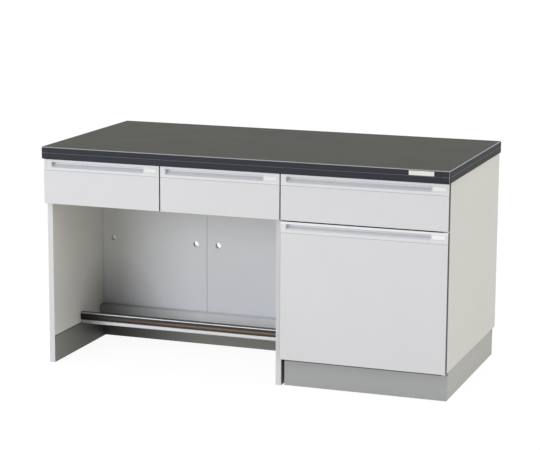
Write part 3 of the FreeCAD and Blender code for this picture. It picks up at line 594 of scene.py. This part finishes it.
def grid_quads(rows, columns, closed=False):
    """Corner numbers of a grid's quads. A closed grid joins its last column to its first."""
    spans = columns if closed else columns - 1
    row, column = np.meshgrid(np.arange(rows - 1), np.arange(spans), indexing="ij")
    first = row * columns + column
    second = row * columns + (column + 1) % columns
    return np.stack([first, second, second + columns, first + columns], axis=-1).reshape(-1, 4)


def swept_faces(stations, corners):
    """Faces of a closed outline of corners carried past stations, and its two ends."""
    sides = grid_quads(stations, corners, closed=True)
    start = np.arange(corners)
    return [sides, np.stack([start[::-1], start + (stations - 1) * corners])]


def turned_faces(rings, columns):
    """Faces of a turned shape: a point at each pole, and rings of points between them."""
    column = np.arange(columns)
    following = (column + 1) % columns
    last = 1 + (rings - 1) * columns
    top = np.stack([np.zeros(columns, int), 1 + column, 1 + following], axis=-1)
    bottom = np.stack([np.full(columns, last + columns), last + following, last + column], axis=-1)
    return [np.concatenate([top, bottom]), grid_quads(rings, columns, closed=True)[:, ::-1] + 1]


def turned_points(outlines, heights):
    """Points of a shape with rings about +Z, from its top pole to its bottom pole. Ring i follows
    outlines[i], an array of x and y, at heights[i]. The poles lie level with the end rings."""
    rings = np.dstack([outlines, np.broadcast_to(np.reshape(heights, (-1, 1)), outlines.shape[:2])])
    return np.concatenate([[(0, 0, heights[0])], rings.reshape(-1, 3), [(0, 0, heights[-1])]])


def circles(radii, angles):
    """Outline of a circle for each radius."""
    return np.multiply.outer(radii, np.column_stack([np.cos(angles), np.sin(angles)]))


def add_copies(name, shape, places, material, body):
    """One piece of copies of a shape made about +Z, one for each (centre, outward direction)."""
    points, face_groups = shape
    turns = np.array([Z_AXIS.rotation_difference(outward).to_matrix() for _, outward in places])
    centres = np.array([centre for centre, _ in places])
    copies = np.einsum("kij,nj->kni", turns, points) + centres[:, None]
    steps = np.arange(len(places)) * len(points)
    groups = [(steps[:, None, None] + group).reshape(-1, group.shape[1]) for group in face_groups]
    add_piece(name, copies.reshape(-1, 3), groups, material, body)


def between(low, high, margin, count=2):
    """Even steps from a margin past low to a margin before high."""
    return np.linspace(low + margin, high - margin, count)


def spots(x, y, z, outward):
    """(centre, outward direction) for every choice among the values of x, y and z."""
    return [(centre, outward) for centre in itertools.product(*map(np.atleast_1d, (x, y, z)))]


def screw_head(sizes):
    """Pan head with a crossed recess. The recess follows a plus sign, whose quarter runs from the
    tip of one arm past the inner corner to the tip of the next. The head's rings are circles that
    sink with the fourth power of their radius."""
    radius, height = sizes.screw_radius, sizes.screw_height
    arm, half_width = 0.6 * radius, 0.13 * radius
    halfway = (arm + half_width) / 2
    quarter = np.array([(arm, 0), (arm, half_width), (halfway, half_width),
                        (half_width, half_width), (half_width, halfway), (half_width, arm)])
    quarter_turn = np.array([(0, 1), (-1, 0)])
    plus = np.concatenate([quarter @ np.linalg.matrix_power(quarter_turn, n) for n in range(4)])
    angles = np.unwrap(np.arctan2(plus[:, 1], plus[:, 0]))
    shares = np.array([0.74, 0.9, 1.0])
    dome = height * (1 - 0.7 * shares ** 4)
    outlines = np.concatenate([[0.85 * plus, plus], circles(radius * shares, angles),
                               circles([radius], angles)])
    heights = [0.35 * height, 0.95 * height, *dome, -HIDDEN]
    return turned_points(outlines, heights), turned_faces(len(heights), len(plus))


def domed_disc(radius, height):
    """Low button: its edge is a quarter of an ellipse, from the flat middle down to the side."""
    flat = 0.75
    edge = np.linspace(0, np.pi / 2, 6)
    radii = [0.5 * radius, *(radius * (flat + (1 - flat) * np.sin(edge))), radius]
    heights = [height, *(height * np.cos(edge)), -HIDDEN]
    angles = np.linspace(0, 2 * np.pi, 28, endpoint=False)
    return turned_points(circles(radii, angles), heights), turned_faces(len(heights), len(angles))


def rounded_rectangle(width, height, radius):
    """Outline of a rectangle whose corners are quarter circles, counterclockwise."""
    angles = np.linspace(0, np.pi / 2, CORNER_STEPS) + np.arange(4)[:, None] * np.pi / 2
    signs = np.array([(1, 1), (-1, 1), (-1, -1), (1, -1)])
    centres = signs * (np.array([width, height]) / 2 - radius)
    arcs = radius * np.stack([np.cos(angles), np.sin(angles)], axis=-1)
    return (centres[:, None] + arcs).reshape(-1, 2)


# ---- pieces ----
def band_along(edge, depth, thickness):
    """Band on an edge line of a front: its section, a flat strip whose front corner is a quarter
    circle, is carried along the line of (x, z) corners and mitred where the line turns."""
    steps = np.diff(edge, axis=0)
    steps = steps / np.linalg.norm(steps, axis=1, keepdims=True)
    normals = np.column_stack([-steps[:, 1], steps[:, 0]])
    outward = np.concatenate([normals[:1], normals[:-1] + normals[1:], normals[-1:]])
    angles = np.linspace(0, np.pi / 2, CORNER_STEPS)
    front, back = depth
    corner = np.column_stack([thickness * np.sin(angles), front + thickness * (1 - np.cos(angles))])
    section = np.concatenate([[(0, back), (thickness, back)], corner[::-1]])
    across = edge[:, None] + outward[:, None] * section[None, :, :1]
    along_y = np.broadcast_to(section[:, 1], across.shape[:2])
    points = np.dstack([across[..., 0], along_y, across[..., 1]]).reshape(-1, 3)
    return points, swept_faces(len(edge), len(section))


def front_box(front):
    """Lowest and highest corner of a front with its grip."""
    low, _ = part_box(front + ("_panel" if front == "door" else "_front"))
    _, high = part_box(front + "_grip")
    return low, high


def add_bands(name, sizes, material):
    """Dark bands on the sides and the top of a front. The door's stop beside its pivots."""
    low, high = front_box(name)
    inset = sizes.band_inset
    left, right, bottom, top = low.x, high.x, low.z + inset, high.z
    if name == "door":
        edges = [[(left, bottom), (left, top), (right - PIVOT_CLEAR, top)],
                 [(right, top - inset), (right, bottom)]]
    else:
        edges = [[(left, bottom), (left, top), (right, top), (right, bottom)]]
    depth = (low.y + inset, high.y - inset)
    for edge, label in zip(edges, ("_edge_bands", "_hinge_side_band")):
        points, groups = band_along(np.array(edge), depth, sizes.band_thickness)
        add_piece(name + label, points, groups, material, name)


def add_card(name, sizes, material):
    """Card that bows gently out of its recess: its face follows a cosine across its width."""
    low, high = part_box(name + "_card")
    columns, rows = 17, 5
    across, up = np.meshgrid(np.linspace(-1, 1, columns), np.linspace(0, 1, rows))
    bow = sizes.card_bow * np.cos(across * np.pi / 2)
    x = (low.x + high.x) / 2 + across * (high.x - low.x) / 2
    y = high.y - sizes.card_thickness - bow
    z = low.z + up * (high.z - low.z)
    face = np.column_stack([x.ravel(), y.ravel(), z.ravel()])
    piece = add_piece(name + "_card_paper", face, [grid_quads(rows, columns)], material,
                      name)
    solid = piece.modifiers.new("thickness", "SOLIDIFY")
    solid.thickness = sizes.card_thickness
    solid.offset = -1
    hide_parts(name + "_card")


def add_tread(sizes, material):
    """Ribbed tread: a profile carried along the bar. The front of the profile is a parabola whose
    crown is level with the bar's face. From it a cosine wave is sunk, which dies out at the two
    edges."""
    low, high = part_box("footrest_tread")
    up = np.linspace(-1, 1, 12 * sizes.rib_count + 1)
    wave = 0.5 + 0.5 * np.cos(np.pi * sizes.rib_count * (up + 1))
    sunk = sizes.tread_crown * up ** 2 + sizes.rib_depth * (1 - wave) * (1 - up ** 4)
    front = np.column_stack([low.y + sunk, low.z + (up + 1) / 2 * (high.z - low.z)])
    outline = np.concatenate([front, [(high.y, high.z), (high.y, low.z)]])
    points = np.array([(x, *corner) for x in (high.x, low.x) for corner in outline])
    piece = add_piece("footrest_tread_ribbed", points, swept_faces(2, len(outline)), material,
                      "bench")
    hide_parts("footrest_tread")


def add_blank_plate(sizes, material):
    """Plate in its seat on the worktop's edge: rings that follow a rounded rectangle, from a flat
    face over a soft edge to the back."""
    inset = np.array([0.5, 0.25, 0.08, 0, 0]) * MM
    sunk = PLATE_SEAT * np.array([1, 1, 2, 4, 12]) / 12
    width, height = sizes.plate_width, sizes.plate_height
    outlines = np.array([rounded_rectangle(width - 2 * step, height - 2 * step,
                                           sizes.plate_corner - step) for step in inset])
    points = turned_points(outlines, -sunk)
    centre = (CAD_BOUNDS[1][0] - sizes.plate_inset - width / 2, CAD_BOUNDS[0][1],
              CAD_BOUNDS[1][2] - sizes.plate_drop - height / 2)
    standing = np.column_stack([points[:, 0], -points[:, 2], points[:, 1]]) + centre
    add_piece("blank_plate", standing, turned_faces(len(inset), outlines.shape[1]), material,
              "bench")


def add_screws(sizes, material):
    """Pan-head screws of each body, as one piece per body."""
    head = screw_head(sizes)
    for body, places in screw_places().items():
        add_copies(body + "_screws", head, places, material, body)


def screw_places():
    """(centre, outward direction) of every screw head, by body."""
    bench = []
    places = {"bench": bench}
    for drawer in DRAWERS:
        low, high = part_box(drawer + "_slide_rails")
        row = between(low.y, high.y, SCREW_MARGIN, 3), middle(drawer + "_slide_rails").z
        bench += spots(low.x + SLIDE_SHEET, *row, X_AXIS)
        bench += spots(high.x - SLIDE_SHEET, *row, -X_AXIS)
        low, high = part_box(drawer + "_box")
        ends = between(low.y, high.y, BOX_BOARD / 2), between(low.z, high.z, BOX_BOARD)
        places[drawer] = (
            spots(low.x - SLIDE_SHEET, *row, -X_AXIS) + spots(high.x + SLIDE_SHEET, *row, X_AXIS)
            + spots(between(low.x, high.x, 2 * SCREW_MARGIN, 3), low.y + BOX_BOARD,
                    between(low.z, high.z, SCREW_MARGIN), Y_AXIS)
            + spots(low.x, *ends, -X_AXIS) + spots(high.x, *ends, X_AXIS))

    low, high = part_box("door_pivot_brackets")
    leg_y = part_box("carcass_edge_bands")[0].y
    for margin in (BRACKET_HOLE, 2 * BRACKET_HOLE):
        bench += spots((low.x + high.x) / 2, leg_y, between(low.z, high.z, margin), -Y_AXIS)

    catch = middle("door_catch")
    bench += spots(catch.x + CATCH_HOLE * np.array([-1, 1]), catch.y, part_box("door_catch")[0].z,
                   -Z_AXIS)

    low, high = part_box("pedestal_back")
    heights = [middle("pedestal_" + board).z for board in ("bottom", "divider", "top_rails")]
    bench += spots(between(low.x, high.x, SCREW_MARGIN, 5), high.y, heights, Y_AXIS)

    low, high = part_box("knee_panel_battens")
    bench += spots(between(low.x, high.x, BATTEN_WIDTH / 2, 3), high.y,
                   between(low.z, high.z, 2 * SCREW_MARGIN, 3), Y_AXIS)

    for rails in ("knee_top_rails", "pedestal_top_rails"):
        low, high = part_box(rails)
        bench += spots(between(low.x, high.x, 2 * SCREW_MARGIN, 4),
                       between(low.y, high.y, RAIL_HOLE), low.z, -Z_AXIS)
    return places


def add_connector_caps(sizes, material):
    """Round caps over the connectors in the pedestal's bottom board and divider."""
    places = []
    for board in ("pedestal_bottom", "pedestal_divider"):
        low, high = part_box(board)
        places += spots(between(low.x, high.x, CAP_EDGE), between(low.y, high.y, CAP_EDGE), high.z,
                        Z_AXIS)
    add_copies("connector_caps", domed_disc(sizes.cap_radius, sizes.cap_height), places, material,
               "bench")


def add_buffers(front, sizes, material):
    """Soft pads on the back of a front, which close the space to the carcass. The door has none
    beside its pivots."""
    low, high = front_box(front)
    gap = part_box("carcass_edge_bands")[0].y - high.y
    columns = between(low.x, high.x, BUFFER_EDGE)
    if front == "door":
        columns = columns[:1]
    places = spots(columns, high.y, (low.z + BUFFER_LIFT, high.z - BUFFER_DROP), Y_AXIS)
    add_copies(front + "_buffers", domed_disc(sizes.buffer_radius, gap - BUFFER_CLEARANCE), places,
               material, front)


# ---- studio ----
def add_lamp(name, place, size, tint, watts):
    """Round lamp that shines from a place to the middle of the bench."""
    lamp = bpy.data.lights.new(name, "AREA")
    lamp.shape, lamp.size = "DISK", size
    lamp.color, lamp.energy = tint, watts
    turn = (Vector(LAMP_TARGET) - Vector(place)).to_track_quat("-Z", "Y")
    placed(name, lamp).matrix_world = Matrix.Translation(place) @ turn.to_matrix().to_4x4()


def ray_seen(nodes):
    """1 for rays from the camera, mirrors and glass, and 0 for the light that objects get."""
    path = nodes.tree.nodes.new("ShaderNodeLightPath").outputs
    mirrored = nodes.math("MAXIMUM", path["Is Glossy Ray"], path["Is Transmission Ray"])
    return nodes.math("MAXIMUM", path["Is Camera Ray"], mirrored)


def set_world(ambient):
    """White surroundings to the eye. The light that they give the bench is soft, and weaker from
    the horizon than from overhead."""
    world = bpy.data.worlds.new("studio")
    world.use_nodes = True
    nodes = NodeTree(world.node_tree)
    background = nodes.tree.nodes["Background"].inputs
    direction = nodes.add("ShaderNodeTexCoord", "Generated")
    upward = nodes.add("ShaderNodeSeparateXYZ", "Z", {"Vector": direction})
    light = nodes.spread(upward, 0.0, OVERHEAD_FULL, ambient * HORIZON_SHARE, ambient)
    nodes.feed(background["Color"], (1, 1, 1, 1))
    nodes.feed(background["Strength"], nodes.spread(ray_seen(nodes), 0.0, 1.0, light, 1.0))
    bpy.context.scene.world = world


def add_floor():
    """Wide white floor that keeps the bench's shadow. Seen directly it glows a little, so that it
    joins the white surroundings."""
    half = FLOOR_SIZE / 2
    mesh = bpy.data.meshes.new("floor")
    mesh.from_pydata([(-half, -half, 0), (half, -half, 0), (half, half, 0), (-half, half, 0)], [],
                     [(0, 1, 2, 3)])
    material = bpy.data.materials.new("floor")
    material.use_nodes = True
    nodes = NodeTree(material.node_tree)
    seen = ray_seen(nodes)
    shader = nodes.tree.nodes["Principled BSDF"].inputs
    for name, value in (("Roughness", 1.0), ("Specular IOR Level", 0.0),
                        ("Emission Color", (1, 1, 1, 1)),
                        ("Emission Strength", nodes.math("MULTIPLY", seen, FLOOR_GLOW)),
                        ("Base Color", nodes.blend(seen, (*FLOOR_BOUNCE, 1), (*FLOOR_LEVEL, 1)))):
        nodes.feed(shader[name], value)
    mesh.materials.append(material)
    placed("floor", mesh)


def add_camera(studio):
    """Camera at eye, turned by heading, tilt and roll in that order."""
    camera = bpy.data.cameras.new("camera")
    camera.lens = studio.lens
    camera.clip_end = 2 * FLOOR_SIZE
    holder = placed("camera", camera)
    holder.matrix_world = (Matrix.Translation(studio.eye)
                           @ Matrix.Rotation(studio.heading, 4, "Z")
                           @ Matrix.Rotation(math.pi / 2 - studio.tilt, 4, "X")
                           @ Matrix.Rotation(studio.roll, 4, "Z"))
    bpy.context.scene.camera = holder


# ---- operators ----
def nodes_with(slot):
    """Names of the frame's nodes whose material slot has that name."""
    found = [name for name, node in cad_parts.items()
             if node.material_slots[0].material.name.split(".")[0] == slot]
    if not found:
        raise RuntimeError(f"no node has the material slot {slot}")
    return found


def settings(context):
    return context.scene.bench_colours, context.scene.bench_sizes


class BENCH_OT_worktop(bpy.types.Operator):
    """Finish the worktop, its moulded edge and the blank plate on it"""

    bl_idname = "bench.worktop"
    bl_label = "Worktop"

    def execute(self, context):
        colours, sizes = settings(context)
        dress(nodes_with("worktop_laminate"), worktop_laminate(colours))
        dress(nodes_with("edge_strip"), edge_strip(colours))
        add_blank_plate(sizes, plain_finish("blank_plate", colours))
        return {"FINISHED"}


class BENCH_OT_carcass(bpy.types.Operator):
    """Finish legs, sides, backs, plinth and edge bands"""

    bl_idname = "bench.carcass"
    bl_label = "Carcass and plinth"

    def execute(self, context):
        colours, sizes = settings(context)
        boards = nodes_with("carcass_melamine")
        # boards facing the front, the knee panels and the rail take the cooler copy of the melamine,
        # painted as the front light's tint
        kinds = (("standing_across", colours.carcass), ("facing_front", colours.backs),
                 ("lying_flat", colours.carcass))
        for axis, (label, colour) in enumerate(kinds):
            dress([name for name in boards if thin_axis(name) == axis],
                  board_finish("melamine_" + label, colour, axis, colours.chipboard))
        dress(["knee_back_panel_left", "knee_back_panel_right"],
              board_finish("melamine_panels", colours.backs, 1, colours.sealed))
        dress(["knee_back_rail"], base_laminate("rail_laminate", colours.backs))
        dress(nodes_with("edge_band"), plain_finish("edge_band", colours))
        # bases painted darker than the plinth, as shade
        dress(nodes_with("plinth_laminate"),
              base_laminate("base_laminate", colours.bases, BASE_SHADOW_FROM))
        # plinth front and rear painted darker than the plinth sides, as shade
        dress(["plinth_front", "plinth_rear"],
              base_laminate("plinth_laminate", colours.plinth, PLINTH_SHADOW_FROM))
        dress(["plinth_sides"], base_laminate("plinth_end_laminate", colours.plinth_ends))
        add_connector_caps(sizes, moulded_plastic("cap_plastic", colours.carcass))
        return {"FINISHED"}


class BENCH_OT_fronts(bpy.types.Operator):
    """Finish drawer fronts and door, with their grips, cards, side bands and buffers"""

    bl_idname = "bench.fronts"
    bl_label = "Fronts"

    def execute(self, context):
        colours, sizes = settings(context)
        dress(nodes_with("front_melamine"), front_melamine(colours))
        trim, card, rubber = (plain_finish(name, colours)
                              for name in ("front_trim", "label_card", "buffer_rubber"))
        for front in FRONTS:
            grip = front + "_grip"
            dress([grip], grip_plastic(grip + "_plastic", colours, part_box(grip)[1].z))
            add_bands(front, sizes, trim)
            add_card(front, sizes, card)
            add_buffers(front, sizes, rubber)
        return {"FINISHED"}


class BENCH_OT_drawers(bpy.types.Operator):
    """Finish drawer boxes and slides"""

    bl_idname = "bench.drawers"
    bl_label = "Drawer boxes and slides"

    def execute(self, context):
        colours, _ = settings(context)
        dress(nodes_with("drawer_melamine"), moulded_plastic("drawer_melamine", colours.drawer))
        dress(nodes_with("slide_steel"), plain_finish("slide_steel", colours))
        return {"FINISHED"}


class BENCH_OT_footrest(bpy.types.Operator):
    """Finish the footrest's bar and lay the ribbed tread in it"""

    bl_idname = "bench.footrest"
    bl_label = "Footrest"

    def execute(self, context):
        colours, sizes = settings(context)
        dress(nodes_with("footrest_aluminium"), footrest_aluminium(colours))
        add_tread(sizes, tread_vinyl(colours))
        return {"FINISHED"}


class BENCH_OT_hardware(bpy.types.Operator):
    """Finish pivots, catch and shelf pins, and add the screws"""

    bl_idname = "bench.hardware"
    bl_label = "Pivots, catch and screws"

    def execute(self, context):
        colours, sizes = settings(context)
        zinc = plain_finish("zinc_steel", colours)
        dress(nodes_with("zinc_steel"), zinc)
        dress(nodes_with("bush_nylon"), moulded_plastic("bush_nylon", colours.nylon, 0.45))
        dress(nodes_with("catch_plastic"), moulded_plastic("catch_plastic", colours.catch))
        add_screws(sizes, zinc)
        return {"FINISHED"}


class BENCH_OT_studio(bpy.types.Operator):
    """Set up floor, surroundings, lamps and camera"""

    bl_idname = "bench.studio"
    bl_label = "Studio"

    def execute(self, context):
        studio = context.scene.bench_studio
        set_world(studio.ambient)
        add_floor()
        add_lamp("key", *KEY_LAMP, studio.key)
        add_lamp("fill", *FILL_LAMP, studio.fill)
        add_camera(studio)
        context.scene.view_settings.view_transform = "Standard"
        return {"FINISHED"}


STEPS = (BENCH_OT_worktop, BENCH_OT_carcass, BENCH_OT_fronts, BENCH_OT_drawers, BENCH_OT_footrest,
         BENCH_OT_hardware, BENCH_OT_studio)


class BENCH_PT_finish(bpy.types.Panel):
    """Steps of the bench's finish"""

    bl_label = "Laboratory bench"
    bl_idname = "BENCH_PT_finish"
    bl_space_type = "VIEW_3D"
    bl_region_type = "UI"
    bl_category = "Bench"

    def draw(self, context):
        for step in STEPS:
            self.layout.operator(step.bl_idname)


CLASSES = (BenchColours, BenchSizes, StudioSettings, *STEPS, BENCH_PT_finish)


def register():
    for each in CLASSES:
        bpy.utils.register_class(each)
    bpy.types.Scene.bench_colours = PointerProperty(type=BenchColours)
    bpy.types.Scene.bench_sizes = PointerProperty(type=BenchSizes)
    bpy.types.Scene.bench_studio = PointerProperty(type=StudioSettings)


def unregister():
    del bpy.types.Scene.bench_studio
    del bpy.types.Scene.bench_sizes
    del bpy.types.Scene.bench_colours
    for each in reversed(CLASSES):
        bpy.utils.unregister_class(each)


def main():
    register()
    for step in STEPS:
        group, name = step.bl_idname.split(".")
        getattr(getattr(bpy.ops, group), name)()


if __name__ == "__main__":
    main()
